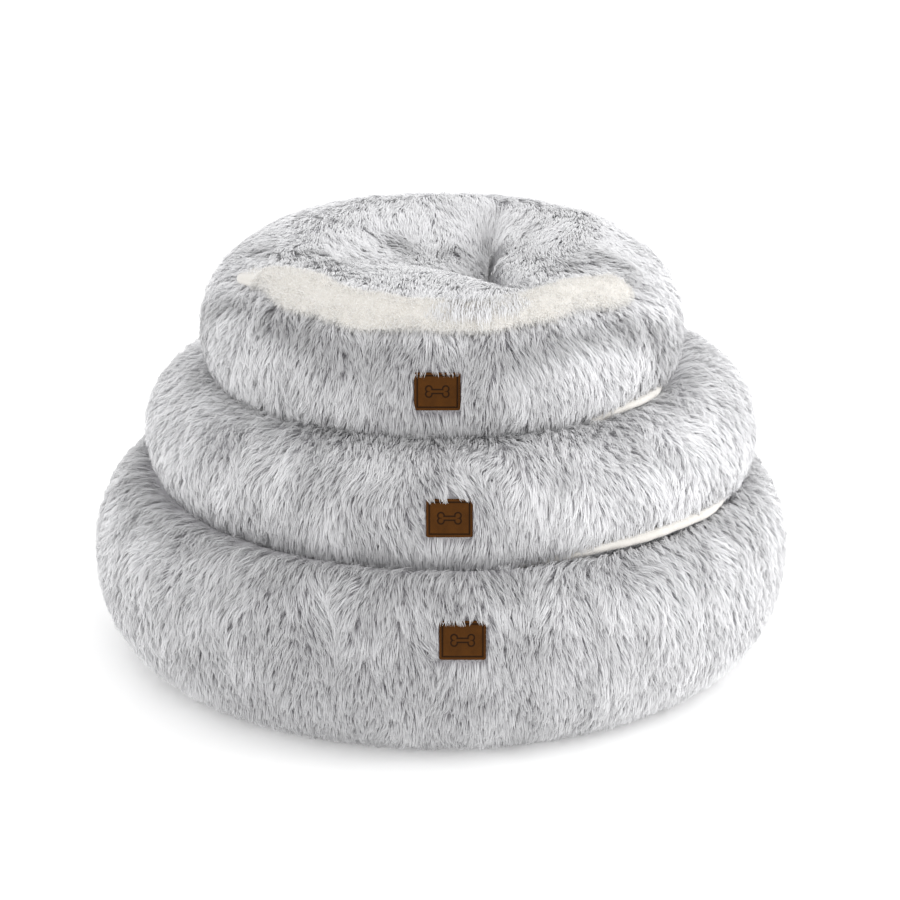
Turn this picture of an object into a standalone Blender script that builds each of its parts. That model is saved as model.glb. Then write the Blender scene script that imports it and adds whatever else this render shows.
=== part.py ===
"""Stack of three round faux-fur pet beds with hoods, nested by size.

Each bed is a ring-shaped bolster on a non-slip base, with a loose pad in its
well, a plush-lined hood sewn round the back of the rim, a leather label on the
front and a zip round the back of its widest line. The medium and the small bed
lift off, and the front of the small bed's hood folds back.

Metres, +Z up, the front faces -Y. The origin is on the floor, under the middle
of the large bed.
"""
import math

import bmesh
import bpy

# Cloth and fit
CLOTH = 0.003            # fur cloth, lining and base cloth, each
COVER = 0.004            # bolster cover with its pile pressed flat
GAP = 0.0004             # between pieces that touch
EASE = 0.002             # between a pad and the wall of its well
SQUARENESS = 2.3         # of the bolster's section: 2 is an ellipse
SEGMENTS = 30            # round a bed, so that a flat of them faces the front
PAD_SEGMENTS = 20
LIP_EDGE = 0.006         # bevel where a seat drops into the well
RING_SPACING = 5.0       # least turn between two rings of a seat, in degrees
SEAT_FALL = 0.004        # of a seat towards the well
LOWER_TURNS = (-90.0, -64.0, -44.0, -24.0)   # where a section's lower side has its rings, in degrees
UPPER_TURNS = (28.0, 50.0, 71.0, 90.0)       # and its upper side
LIP_TURNS = (115.0, 145.0, 180.0)            # and the side of its well

# Pads
PAD_EDGE = 0.022         # rounding of a pad's edge
PAD_SLEEVE = 0.05        # radius of the opening in a pad cover's underside

# Hoods
HEM_RADIUS = 0.002       # rolled edge of a hood
RIM_TURN = -34.0         # place of a trapped hood's rim on the side of the bed above, in degrees
HOOD_SAG = 0.034         # of the small bed's hood, from the crest to its middle
HOOD_REACH = 48.0        # degrees past the crest at which the small hood is sewn down
RIM_REACH = 0.002        # of a hood's sewn edge past the line of its hem

# Leather labels
LABEL_WIDTH = 0.050
LABEL_HEIGHT = 0.042
LABEL_THICKNESS = 0.002

# Zips
ZIP_SPAN = 64.0          # degrees of the bed's back
ZIP_STEP = 360 / SEGMENTS / 3   # a third of a flat, so that its corners lie on the bolster's
TAPE_WIDTH = 0.0105
TAPE_THICKNESS = 0.0008
TEETH_WIDTH = 0.0022
TEETH_THICKNESS = 0.0020
TEETH_SPLIT = 0.0020     # between the two rows of teeth
ZIP_PLAY = 0.0005        # round the slider
SLIDER_LENGTH = 0.0110
SLIDER_PLATE = 0.0011
SLIDER_LIP = 0.0016      # of the slider past the teeth, above and below
EAR = 0.0012
PULL_WIDTH = 0.0060
PULL_LENGTH = 0.0230
PULL_THICKNESS = 0.0012
KEEL_LENGTH = 0.0088     # of the slider's keel between the rows of teeth
STOP_LENGTH = 0.0040


class Bed:
    """Sizes of one bed, and where it stands."""

    def __init__(self, name, radius, height, shoulder, lip, pad, base, centre, label, label_shift, hem):
        self.name = name
        self.radius = radius            # to the widest line
        self.height = height            # of the bolster
        self.shoulder = shoulder        # from the crest out to the widest line
        self.lip = lip                  # from the crest in to the well
        self.pad = pad                  # thickness of the loose pad
        self.base = base                # of the underside above the floor
        self.centre = centre
        self.label = label              # height of the label's middle above the base
        self.label_shift = label_shift  # to the right of the bed's middle
        self.hem = hem                  # (direction in degrees, share of the rim's radius), right to left
        self.crest = radius - shoulder
        self.well = self.crest - lip
        self.above = None


LARGE = Bed(
    name="large", radius=0.393, height=0.223, shoulder=0.109, lip=0.070, pad=0.060,
    base=0.0, centre=(0.0, 0.0), label=0.148, label_shift=0.023,
    hem=((-8, 1), (-26, 1), (-44, 1), (-62, 1), (-80, 0.95), (-105, 0.84), (-135, 0.80), (-172, 1)))
MEDIUM_SINK = 0.045      # of the medium bed into the large one
MEDIUM = Bed(
    name="medium", radius=0.345, height=0.150, shoulder=0.105, lip=0.065, pad=0.045,
    base=LARGE.height - MEDIUM_SINK, centre=(0.012, 0.013), label=0.087, label_shift=-0.003,
    hem=((-4, 1), (-22, 1), (-40, 1), (-58, 0.95), (-85, 0.82), (-125, 0.78), (-174, 1)))
SMALL_SINK = 0.034       # of the small bed into the medium one
SMALL = Bed(
    name="small", radius=0.268, height=0.164, shoulder=0.096, lip=0.055, pad=0.045,
    base=MEDIUM.base + MEDIUM.height - SMALL_SINK, centre=(0.001, 0.004), label=0.091, label_shift=-0.005,
    hem=((-12, 1), (-30, 0.95), (-50, 0.89), (-84, 0.94), (-118, 0.91), (-150, 0.86), (-177, 1)))
LARGE.above = MEDIUM
MEDIUM.above = SMALL
BEDS = (LARGE, MEDIUM, SMALL)

LAYERS = GAP + CLOTH + GAP + CLOTH + GAP     # hood and lining between two beds


# ---------------------------------------------------------------- scene

def clear_scene():
    for thing in list(bpy.data.objects):
        bpy.data.objects.remove(thing)


def new_collection(name):
    collection = bpy.data.collections.new(name)
    bpy.context.scene.collection.children.link(collection)
    return collection


def new_material(name, colour, roughness, metallic=0.0):
    material = bpy.data.materials.new(name)
    material.use_nodes = True
    shader = material.node_tree.nodes["Principled BSDF"]
    shader.inputs["Base Color"].default_value = (*colour, 1.0)
    shader.inputs["Roughness"].default_value = roughness
    shader.inputs["Metallic"].default_value = metallic
    return material


def add_object(name, mesh, material, parent):
    """Adds a mesh as one named piece under its parent empty."""
    mesh.shade_smooth()
    mesh.set_sharp_from_angle(angle=math.radians(40))
    piece = bpy.data.objects.new(name, mesh)
    piece.data.materials.append(material)
    piece.parent = parent
    PARTS.objects.link(piece)
    return piece


def add_empty(name, location, parent=None, turn=0.0):
    empty = bpy.data.objects.new(name, None)
    empty.empty_display_size = 0.05
    empty.location = location
    empty.rotation_euler = (0.0, 0.0, turn)
    empty.parent = parent
    PARTS.objects.link(empty)
    return empty


# ---------------------------------------------------------------- shapes

def loft(name, sections, closed):
    """Skin over sections with equal numbers of points: a closed loop of them, or a run with end caps."""
    mesh = bpy.data.meshes.new(name)
    work = bmesh.new()
    rows = [[work.verts.new(point) for point in section] for section in sections]
    runs = list(zip(rows, rows[1:]))
    if closed:
        runs.append((rows[-1], rows[0]))
    else:
        work.faces.new(rows[0])
        work.faces.new(rows[-1])
    for first, second in runs:
        for i in range(len(first)):
            j = (i + 1) % len(first)
            work.faces.new((first[i], first[j], second[j], second[i]))
    bmesh.ops.recalc_face_normals(work, faces=work.faces)
    work.to_mesh(mesh)
    work.free()
    return mesh


def turned(name, profile, material, parent, steps):
    """Turned piece: the profile, (radius, height), runs down its outer side, round the Z axis."""
    edges = [(i, i + 1) for i in range(len(profile) - 1)]
    mesh = bpy.data.meshes.new(name)
    mesh.from_pydata([(radius, 0.0, height) for radius, height in profile], edges, [])
    piece = bpy.data.objects.new(name, mesh)
    piece.data.materials.append(material)
    piece.parent = parent
    PARTS.objects.link(piece)
    screw = piece.modifiers.new("Turn", "SCREW")
    screw.steps = steps
    screw.render_steps = steps
    screw.use_merge_vertices = True
    screw.merge_threshold = 0.0001
    screw.use_smooth_shade = True
    return piece


def ring(radius, height, shift=(0.0, 0.0)):
    """Points of one level circle."""
    angles = [2 * math.pi * i / SEGMENTS for i in range(SEGMENTS)]
    return [(shift[0] + radius * math.cos(a), shift[1] + radius * math.sin(a), height) for a in angles]


def box_mesh(name, low, high):
    mesh = bpy.data.meshes.new(name)
    work = bmesh.new()
    bmesh.ops.create_cube(work, size=1.0)
    for vert in work.verts:
        for axis in range(3):
            vert.co[axis] = low[axis] if vert.co[axis] < 0 else high[axis]
    work.to_mesh(mesh)
    work.free()
    return mesh


def arc_band(name, inner, outer, bottom, top, start, end, material, parent):
    """Flat band bent round the Z axis from one direction to another, in degrees."""
    sections = []
    steps = math.ceil((end - start) / ZIP_STEP)
    for i in range(steps + 1):
        angle = math.radians(start + (end - start) * i / steps)
        across, along = math.cos(angle), math.sin(angle)
        corners = ((inner, bottom), (outer, bottom), (outer, top), (inner, top))
        sections.append([(radius * across, radius * along, height) for radius, height in corners])
    return add_object(name, loft(name, sections, closed=False), material, parent)


def cut(piece, cutter):
    boolean = piece.modifiers.new("Cut", "BOOLEAN")
    boolean.operation = "DIFFERENCE"
    boolean.solver = "EXACT"
    boolean.object = cutter


def add_cutter(name, mesh, parent):
    cutter = bpy.data.objects.new(name, mesh)
    cutter.parent = parent
    cutter.display_type = "WIRE"
    cutter.hide_render = True
    CUTTERS.objects.link(cutter)
    return cutter


def smooth_path(points, steps=6):
    """Catmull-Rom curve through the points."""
    ends = [points[0], *points, points[-1]]
    path = []
    for before, start, end, after in zip(ends, ends[1:], ends[2:], ends[3:]):
        for i in range(steps):
            t = i / steps
            weights = (-t + 2 * t ** 2 - t ** 3, 2 - 5 * t ** 2 + 3 * t ** 3,
                       t + 4 * t ** 2 - 3 * t ** 3, -t ** 2 + t ** 3)
            knots = (before, start, end, after)
            path.append(tuple(sum(w * knot[axis] for w, knot in zip(weights, knots)) / 2
                              for axis in (0, 1)))
    return path + [tuple(points[-1])]


# ---------------------------------------------------------------- section of a bed

def side_point(bed, turn, out=0.0):
    """(radius, height above the base) of a bolster's section, pushed out of it by a distance.

    The turn is -90 degrees at the underside, 0 at the widest line, 90 at the crest and 180 in the well.
    """
    power = 2 / SQUARENESS
    across = math.cos(math.radians(turn))
    up = math.sin(math.radians(turn))
    width = bed.shoulder if across >= 0 else bed.lip
    half = bed.height / 2
    normal = (math.copysign(abs(across) ** (2 - power), across) / width,
              math.copysign(abs(up) ** (2 - power), up) / half)
    length = math.hypot(*normal)
    radius = bed.crest + width * math.copysign(abs(across) ** power, across)
    height = half * (1 + math.copysign(abs(up) ** power, up))
    return radius + out * normal[0] / length, height + out * normal[1] / length


def label_turn(bed):
    """Turn of the label's middle on the section."""
    up = 2 * bed.label / bed.height - 1
    return math.degrees(math.asin(math.copysign(abs(up) ** (SQUARENESS / 2), up)))


def underside(bed, radius, out=0.0):
    """Height above its base of a bed's underside at a radius, pushed down by a distance."""
    points = [side_point(bed, turn, out) for turn in (*LOWER_TURNS, 0.0)]
    for (near, low), (far, high) in zip(points, points[1:]):
        if near <= radius <= far:
            return low + (high - low) * (radius - near) / (far - near)
    return -out


def shift_of(bed):
    """Offset of the bed above from this bed's own middle, and its rise over this bed's base."""
    above = bed.above
    return above.centre[0] - bed.centre[0], above.centre[1] - bed.centre[1], above.base - bed.base


def crease_turn(bed):
    """Last turn, on the way up the side, that is clear of the bed above and its hood layers."""
    across, along, rise = shift_of(bed)
    offset = math.hypot(across, along)
    seat = [side_point(bed.above, turn, LAYERS) for turn in range(-90, 1)]
    last = 0
    for turn in range(91):
        radius, height = side_point(bed, turn)
        reach = [far for far, low in seat if low + rise <= height]
        if radius > max(reach, default=0.0) + offset:
            last = turn
    return last


def seat_turns(bed, last):
    """Turns on the bed above where this bed's seat has its rings, from the crease inwards."""
    rise = shift_of(bed)[2]
    offset = math.hypot(*shift_of(bed)[:2])
    edge_radius, edge_height = side_point(bed, last)
    below = []
    for turn in range(-90, 1):
        radius, height = side_point(bed.above, turn, LAYERS)
        if height + rise < edge_height and radius + offset < edge_radius:
            below.append(turn)
    edge = max(below)
    rings = sorted((*LOWER_TURNS, RIM_TURN), reverse=True)
    return [edge] + [turn for turn in rings if turn < edge - RING_SPACING]


def bolster_rings(bed, inset):
    """Rings of a bolster's skin, a distance inside it, from the base up its outside and down the well."""
    bottom = CLOTH + GAP + max(inset - COVER, 0.0)
    middle = label_turn(bed)
    if bed.above is None:
        turns = [*LOWER_TURNS, 0, middle, *UPPER_TURNS, *LIP_TURNS]
        own = [side_point(bed, turn, -inset) for turn in turns]
        return [ring(radius, height) for radius, height in own] + [ring(own[-1][0], bottom)]
    last = crease_turn(bed)
    turns = [*LOWER_TURNS, 0, middle, (middle + last) / 2, last]
    rings = [ring(*side_point(bed, turn, -inset)) for turn in turns]
    across, along, rise = shift_of(bed)
    offset = math.hypot(across, along)
    well_edge = bed.well + LIP_EDGE
    for turn in seat_turns(bed, last):
        radius, height = side_point(bed.above, turn, LAYERS + inset)
        if radius - offset > well_edge:
            rings.append(ring(radius, height + rise, (across, along)))
    seat = rise - LAYERS - SEAT_FALL - inset
    wall = bed.well + inset
    rings.append(ring(well_edge + inset * 0.5, seat))
    rings.append(ring(wall, seat - LIP_EDGE + inset * 0.5))
    rings.append(ring(wall, bottom))
    return rings


# ---------------------------------------------------------------- pieces of a bed

def make_base(bed, parent):
    radius = bed.crest - GAP
    profile = ((0.0, CLOTH), (radius, CLOTH), (radius, 0.0), (0.0, 0.0))
    turned(f"{bed.name}_base_panel", profile, BASE_CLOTH, parent, SEGMENTS)


def make_bolster(bed, parent):
    cover_name = f"{bed.name}_bolster_cover"
    skin = bolster_rings(bed, 0.0) + bolster_rings(bed, COVER)[::-1]
    add_object(cover_name, loft(cover_name, skin, closed=True), FUR, parent)
    fill_name = f"{bed.name}_bolster_fill"
    filling = bolster_rings(bed, COVER + GAP)
    add_object(fill_name, loft(fill_name, filling, closed=True), FIBRE, parent)


def pad_profile(bed, inset):
    """Half outline of a pad, from the middle of its top to the middle of its underside."""
    radius = bed.well - EASE - inset
    bottom = CLOTH + GAP + inset
    top = CLOTH + GAP + bed.pad - inset
    corner = PAD_EDGE - inset
    upper = [(radius - corner + corner * math.sin(a), top - corner + corner * math.cos(a))
             for a in (math.radians(d) for d in (0, 45, 90))]
    lower = [(radius - corner + corner * math.cos(a), bottom + corner - corner * math.sin(a))
             for a in (math.radians(d) for d in (0, 90))]
    return [(0.0, top)] + upper + lower + [(0.0, bottom)]


def make_pad(bed, parent):
    outer = pad_profile(bed, 0.0)[:-1] + [(PAD_SLEEVE, CLOTH + GAP)]
    inner = pad_profile(bed, CLOTH)[:-1] + [(PAD_SLEEVE, CLOTH + GAP + CLOTH)]
    turned(f"{bed.name}_pad_cover", outer + inner[::-1], PLUSH, parent, PAD_SEGMENTS)
    turned(f"{bed.name}_pad_fill", pad_profile(bed, CLOTH + GAP), FIBRE, parent, PAD_SEGMENTS)


def trapped_hood_profile(bed, first, second):
    """Section of a hood layer pressed under the bed above, between two distances below it."""
    above = bed.above
    rise = above.base - bed.base
    turns = [turn for turn in LOWER_TURNS if turn < RIM_TURN] + [RIM_TURN]
    top = [side_point(above, turn, first) for turn in turns]
    bottom = [side_point(above, turn, second) for turn in turns[::-1]]
    points = [(0.0, -first), *top, *bottom, (0.0, -second)]
    return [(radius, height + rise) for radius, height in points]


def hood_surface(bed, radius, out):
    """Height of the small hood at a radius: it sags in the well and lies on the crest outside it."""
    crest = bed.height + out
    if radius >= bed.crest:
        points = [side_point(bed, turn, out) for turn in UPPER_TURNS[::-1]]
        for (near, high), (far, low) in zip(points, points[1:]):
            if near <= radius <= far:
                return high + (low - high) * (radius - near) / (far - near)
    return crest - HOOD_SAG * (1 - (radius / bed.crest) ** 2) ** 2


def open_hood_profile(bed, first, second):
    """Section of a layer of the small hood, between two distances above the bolster."""
    inner = [bed.crest * share for share in (0.0, 0.4, 0.75)]
    sewn = 90 - HOOD_REACH
    turns = [turn for turn in UPPER_TURNS[::-1] if turn > sewn] + [sewn]
    top = [(radius, hood_surface(bed, radius, second)) for radius in inner]
    top += [side_point(bed, turn, second) for turn in turns]
    bottom = [(radius, hood_surface(bed, radius, first)) for radius in inner]
    bottom += [side_point(bed, turn, first) for turn in turns]
    return top + bottom[::-1]


def hem_plan(bed, rim):
    """Plan of a hood's hem, right to left, about the middle of the hood."""
    points = [(rim * share * math.cos(math.radians(turn)), rim * share * math.sin(math.radians(turn)))
              for turn, share in bed.hem]
    return smooth_path(points)


def beyond_hem(name, plan, parent):
    """Cutter over everything in front of a hem."""
    back_off = HEM_RADIUS + GAP
    border = []
    for i, point in enumerate(plan):
        before = plan[max(i - 1, 0)]
        after = plan[min(i + 1, len(plan) - 1)]
        run = (after[0] - before[0], after[1] - before[1])
        length = math.hypot(*run)
        border.append((point[0] + run[1] / length * back_off, point[1] - run[0] / length * back_off))
    far = 2 * LARGE.radius
    outline = [(far, border[0][1]), *border, (-far, border[-1][1]), (-far, -far), (far, -far)]
    mesh = loft(name, [[(x, y, level) for x, y in outline] for level in (-far, far)], closed=False)
    return add_cutter(name, mesh, parent)


def make_hem(bed, plan, height_at, parent):
    name = f"{bed.name}_hood_hem"
    curve = bpy.data.curves.new(name, "CURVE")
    curve.dimensions = "3D"
    curve.bevel_depth = HEM_RADIUS
    curve.bevel_resolution = 1
    curve.use_fill_caps = True
    spline = curve.splines.new("POLY")
    spline.points.add(len(plan) - 1)
    for slot, (x, y) in zip(spline.points, plan):
        slot.co = (x, y, height_at(x, y), 1.0)
    curve.materials.append(PLUSH)
    hem = bpy.data.objects.new(name, curve)
    hem.parent = parent
    PARTS.objects.link(hem)
    return hem


def make_trapped_hood(bed, parent):
    """Hood of a bed that has another bed standing on it."""
    above = bed.above
    across, along, rise = shift_of(bed)
    middle = add_empty(f"{bed.name}_hood_middle", (across, along, 0.0), parent)
    hood_out = GAP
    lining_out = hood_out + CLOTH + GAP
    hem_out = hood_out + CLOTH + GAP
    rim = side_point(above, RIM_TURN, hem_out)[0] - RIM_REACH
    plan = hem_plan(bed, rim)
    cutter = beyond_hem(f"{bed.name}_hood_opening", plan, middle)
    hood = turned(f"{bed.name}_hood", trapped_hood_profile(bed, hood_out, hood_out + CLOTH), FUR, middle,
                  SEGMENTS)
    cut(hood, cutter)
    lining = turned(f"{bed.name}_hood_lining", trapped_hood_profile(bed, lining_out, lining_out + CLOTH),
                    PLUSH, middle, SEGMENTS)
    cut(lining, cutter)
    make_hem(bed, plan, lambda x, y: underside(above, math.hypot(x, y), hem_out) + rise, middle)


def make_open_hood(bed, parent):
    """Hood of the top bed: the back half is sewn down, and the front half folds back on the hinge line."""
    hinge = (0.0, 0.0, bed.height + LAYERS)
    fold = add_empty(f"{bed.name}_hood_fold", hinge, parent)
    lining = (GAP, GAP + CLOTH)
    fur = (GAP + CLOTH + GAP, LAYERS - GAP)
    middle = GAP + CLOTH + GAP / 2
    rim = side_point(bed, 90 - HOOD_REACH, middle)[0] - RIM_REACH
    plan = hem_plan(bed, rim)
    in_front = beyond_hem(f"{bed.name}_hood_opening", plan, parent)
    far = 2 * LARGE.radius
    front_half = add_cutter(f"{bed.name}_front_half",
                            box_mesh("front_half", (-far, -far, -far), (far, GAP, far)), parent)
    back_half = add_cutter(f"{bed.name}_back_half",
                           box_mesh("back_half", (-far, -GAP, -far), (far, far, far)), parent)
    for layer, limits, material in (("", fur, FUR), ("_lining", lining, PLUSH)):
        profile = open_hood_profile(bed, *limits)
        back = turned(f"{bed.name}_hood_back{layer}", profile, material, parent, SEGMENTS)
        cut(back, front_half)
        flap = turned(f"{bed.name}_hood_flap{layer}", profile, material, fold, SEGMENTS)
        flap.location = (0.0, 0.0, -hinge[2])
        cut(flap, back_half)
        cut(flap, in_front)
    hem = make_hem(bed, plan, lambda x, y: hood_surface(bed, math.hypot(x, y), middle), fold)
    hem.location = (0.0, 0.0, -hinge[2])


def make_label(bed, parent):
    """Leather label lying against the flat at the front of the side."""
    turn = label_turn(bed)
    radius, height = side_point(bed, turn)
    far_radius, far_height = side_point(bed, turn, 1.0)
    lean = math.atan2(far_height - height, far_radius - radius)
    name = f"{bed.name}_label"
    mesh = box_mesh(name, (-LABEL_WIDTH / 2, -GAP - LABEL_THICKNESS, -LABEL_HEIGHT / 2),
                    (LABEL_WIDTH / 2, -GAP, LABEL_HEIGHT / 2))
    label = add_object(name, mesh, LEATHER, parent)
    label.location = (bed.label_shift, -radius * math.cos(math.pi / SEGMENTS), height)
    label.rotation_euler = (-lean, 0.0, 0.0)
    bevel = label.modifiers.new("Edges", "BEVEL")
    bevel.width = LABEL_THICKNESS * 0.3
    bevel.segments = 1


def make_zip(bed, parent):
    """Zip round the back of the widest line, shut at its left end, with a slider and a hanging pull."""
    middle = bed.height / 2
    back = bed.radius + GAP
    teeth_front = back + TEETH_THICKNESS
    first = 90 - ZIP_SPAN / 2
    last = 90 + ZIP_SPAN / 2
    teeth_low = TEETH_SPLIT / 2
    tape_low = teeth_low + TEETH_WIDTH + GAP
    for side, sign in (("upper", 1), ("lower", -1)):
        teeth = sorted((middle + sign * teeth_low, middle + sign * (teeth_low + TEETH_WIDTH)))
        arc_band(f"{bed.name}_zip_{side}_teeth", back, teeth_front, *teeth, first, last, ZIP_METAL, parent)
        tape = sorted((middle + sign * tape_low, middle + sign * (tape_low + TAPE_WIDTH)))
        arc_band(f"{bed.name}_zip_{side}_tape", back, back + TAPE_THICKNESS, *tape, first, last, TAPE, parent)

    slider_angle = math.degrees(SLIDER_LENGTH / 2 / bed.radius)
    stop_angle = math.degrees(STOP_LENGTH / bed.radius)
    play_angle = math.degrees(ZIP_PLAY / bed.radius)
    stop_high = teeth_low - GAP
    for side, start in (("right", first), ("left", last - stop_angle)):
        stop_name = f"{bed.name}_zip_{side}_stop"
        stop = box_mesh(stop_name, (back, 0.0, middle - stop_high),
                        (teeth_front, STOP_LENGTH, middle + stop_high))
        holder = add_empty(f"{stop_name}_place", (0.0, 0.0, 0.0), parent, math.radians(start))
        add_object(stop_name, stop, ZIP_METAL, holder)

    shut = last - stop_angle - play_angle - slider_angle
    axis = add_empty(f"{bed.name}_zip_axis", (0.0, 0.0, middle), parent, math.radians(shut))
    make_slider(bed, axis, teeth_front)
    make_pull(bed, axis, teeth_front)


def pull_radius(teeth_front):
    """Distance of the pull's pin from the bed's axis."""
    return teeth_front + ZIP_PLAY + SLIDER_PLATE + ZIP_PLAY + PULL_THICKNESS


def make_slider(bed, axis, teeth_front):
    """Plate over the teeth, a keel between their rows, and two ears for the pull."""
    name = f"{bed.name}_zip_slider"
    plate_back = teeth_front + ZIP_PLAY
    plate_front = plate_back + SLIDER_PLATE
    half_height = TEETH_SPLIT / 2 + TEETH_WIDTH + SLIDER_LIP
    half_length = SLIDER_LENGTH / 2
    keel = TEETH_SPLIT / 2 - ZIP_PLAY
    ear_in = PULL_WIDTH / 2 + ZIP_PLAY
    ear_half = PULL_THICKNESS
    slider = add_object(name, box_mesh(name, (plate_back, -half_length, -half_height),
                                       (plate_front, half_length, half_height)), ZIP_METAL, axis)
    additions = [((bed.radius + GAP + ZIP_PLAY, -KEEL_LENGTH / 2, -keel),
                  (plate_back + SLIDER_PLATE / 2, KEEL_LENGTH / 2, keel))]
    for sign in (1, -1):
        sides = sorted((sign * ear_in, sign * (ear_in + EAR)))
        additions.append(((plate_front - SLIDER_PLATE / 2, sides[0], -ear_half),
                          (pull_radius(teeth_front) + PULL_THICKNESS, sides[1], ear_half)))
    for i, (low, high) in enumerate(additions):
        block = add_cutter(f"{name}_block_{i}", box_mesh(f"{name}_block_{i}", low, high), axis)
        union = slider.modifiers.new("Join", "BOOLEAN")
        union.operation = "UNION"
        union.solver = "EXACT"
        union.object = block


def make_pull(bed, axis, teeth_front):
    """Pull tab hanging from its pin between the slider's ears."""
    name = f"{bed.name}_zip_pull"
    pin = add_empty(f"{bed.name}_zip_pin", (pull_radius(teeth_front), 0.0, 0.0), axis)
    half = PULL_THICKNESS / 2
    tab = box_mesh(name, (-half, -PULL_WIDTH / 2, -PULL_LENGTH), (half, PULL_WIDTH / 2, half))
    pull = add_object(name, tab, ZIP_METAL, pin)
    bevel = pull.modifiers.new("Edges", "BEVEL")
    bevel.width = PULL_THICKNESS * 0.25
    bevel.segments = 1


clear_scene()
PARTS = new_collection("hooded_pet_bed_stack")
CUTTERS = new_collection("cutters")
FUR = new_material("shaggy_faux_fur", (0.62, 0.61, 0.62), 0.95)
PLUSH = new_material("cream_plush", (0.83, 0.79, 0.72), 0.9)
FIBRE = new_material("polyester_fibre", (0.88, 0.88, 0.88), 0.95)
BASE_CLOTH = new_material("non_slip_base_cloth", (0.30, 0.30, 0.31), 0.8)
LEATHER = new_material("brown_leather", (0.075, 0.027, 0.010), 0.6)
TAPE = new_material("grey_zip_tape", (0.45, 0.45, 0.46), 0.85)
ZIP_METAL = new_material("zip_metal", (0.55, 0.55, 0.56), 0.35, 1.0)

for one_bed in BEDS:
    place = add_empty(f"{one_bed.name}_bed", (*one_bed.centre, one_bed.base))
    make_base(one_bed, place)
    make_bolster(one_bed, place)
    make_pad(one_bed, place)
    make_label(one_bed, place)
    make_zip(one_bed, place)
    if one_bed.above:
        make_trapped_hood(one_bed, place)
    else:
        make_open_hood(one_bed, place)
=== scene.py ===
"""Looks of a stack of three round faux-fur pet beds with hoods, nested by size."""

import math

import bpy
import numpy as np
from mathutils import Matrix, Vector


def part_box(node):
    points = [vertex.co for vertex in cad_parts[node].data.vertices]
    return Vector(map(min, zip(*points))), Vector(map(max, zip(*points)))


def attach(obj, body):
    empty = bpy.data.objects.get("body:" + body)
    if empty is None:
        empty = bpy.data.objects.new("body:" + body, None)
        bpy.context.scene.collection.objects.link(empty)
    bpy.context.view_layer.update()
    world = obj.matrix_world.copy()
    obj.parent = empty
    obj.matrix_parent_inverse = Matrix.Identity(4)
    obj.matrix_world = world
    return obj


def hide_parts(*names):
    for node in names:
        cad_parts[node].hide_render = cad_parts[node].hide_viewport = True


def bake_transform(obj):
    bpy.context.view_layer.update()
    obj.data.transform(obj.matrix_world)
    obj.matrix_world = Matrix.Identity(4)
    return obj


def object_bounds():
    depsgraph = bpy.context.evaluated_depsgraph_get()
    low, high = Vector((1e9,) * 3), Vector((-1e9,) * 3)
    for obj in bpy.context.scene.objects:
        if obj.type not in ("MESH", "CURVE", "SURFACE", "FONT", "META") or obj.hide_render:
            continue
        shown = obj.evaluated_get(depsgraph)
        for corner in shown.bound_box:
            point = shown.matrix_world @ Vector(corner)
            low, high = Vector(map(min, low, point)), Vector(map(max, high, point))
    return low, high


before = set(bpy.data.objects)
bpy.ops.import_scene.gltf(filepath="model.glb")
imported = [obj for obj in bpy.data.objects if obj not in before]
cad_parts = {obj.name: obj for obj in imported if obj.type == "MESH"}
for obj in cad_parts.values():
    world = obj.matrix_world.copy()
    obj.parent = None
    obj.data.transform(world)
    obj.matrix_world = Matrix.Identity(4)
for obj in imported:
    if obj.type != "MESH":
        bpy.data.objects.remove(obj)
cad_low, cad_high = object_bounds()
scene = bpy.context.scene


# -------------------- camera
# A long lens a few steps back from the stack and a little above it, so that
# the three beds are seen almost without perspective.
VIEW_DISTANCE = 4.0  # metres from the middle of the stack
VIEW_ELEVATION = math.radians(20.0)
VIEW_LENS = 137.7  # mm, on the usual 36 mm wide sensor
VIEW_SHIFT = 0.010
VIEW_DROP = 0.0102  # of the point looked at, under the middle of the stack

target = Vector((0.0, 0.0, (cad_low.z + cad_high.z) / 2 - VIEW_DROP))
lens = bpy.data.cameras.new("Camera")
lens.lens = VIEW_LENS
lens.shift_x = VIEW_SHIFT
camera = bpy.data.objects.new("Camera", lens)
back, up = math.cos(VIEW_ELEVATION), math.sin(VIEW_ELEVATION)
camera.location = target + VIEW_DISTANCE * Vector((0.0, -back, up))
camera.rotation_euler = (math.pi / 2 - VIEW_ELEVATION, 0.0, 0.0)
scene.collection.objects.link(camera)
scene.camera = camera
scene.view_settings.view_transform = "Standard"


# -------------------- floor and light
# A white paper floor that runs out of sight, lit from under, below a white
# sky, with one large soft lamp at the right and a weaker one at the front left.
PAPER_WHITE = "#fdfdfd"
PAPER_GLOW = 0.22
FLOOR_RADIUS = 14.0
SKY = 1.00
LAMPS = {  # place, width and power in watts
    "Key lamp": ((3.0, -0.1, 1.7), 2.4, 46.0),
    "Fill lamp": ((-2.2, -2.6, 1.4), 2.6, 6.0)}


def hex_colour(code):
    """Linear RGBA of an sRGB hex value."""
    parts = [int(code[i:i + 2], 16) / 255 for i in (1, 3, 5)]
    return (*[p / 12.92 if p <= 0.04045 else ((p + 0.055) / 1.055) ** 2.4 for p in parts], 1.0)


def add_node(tree, kind, inputs=None, **settings):
    """Adds a shader node, sets it, and fills its inputs from values, hex colours, sockets and nodes.

    A node stands for a link from its first output.
    """
    made = tree.nodes.new("ShaderNode" + kind)
    for name, value in settings.items():
        setattr(made, name, value)
    for socket, value in (inputs or {}).items():
        if isinstance(value, bpy.types.Node):
            value = value.outputs[0]
        if isinstance(value, str):
            value = hex_colour(value)
        if isinstance(value, bpy.types.NodeSocket):
            tree.links.new(value, made.inputs[socket])
        else:
            made.inputs[socket].default_value = value
    return made


def empty_material(name):
    """A new material with nothing but its output, and its node tree."""
    material = bpy.data.materials.new(name)
    material.use_nodes = True
    material.node_tree.nodes.clear()
    return material, material.node_tree


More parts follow.
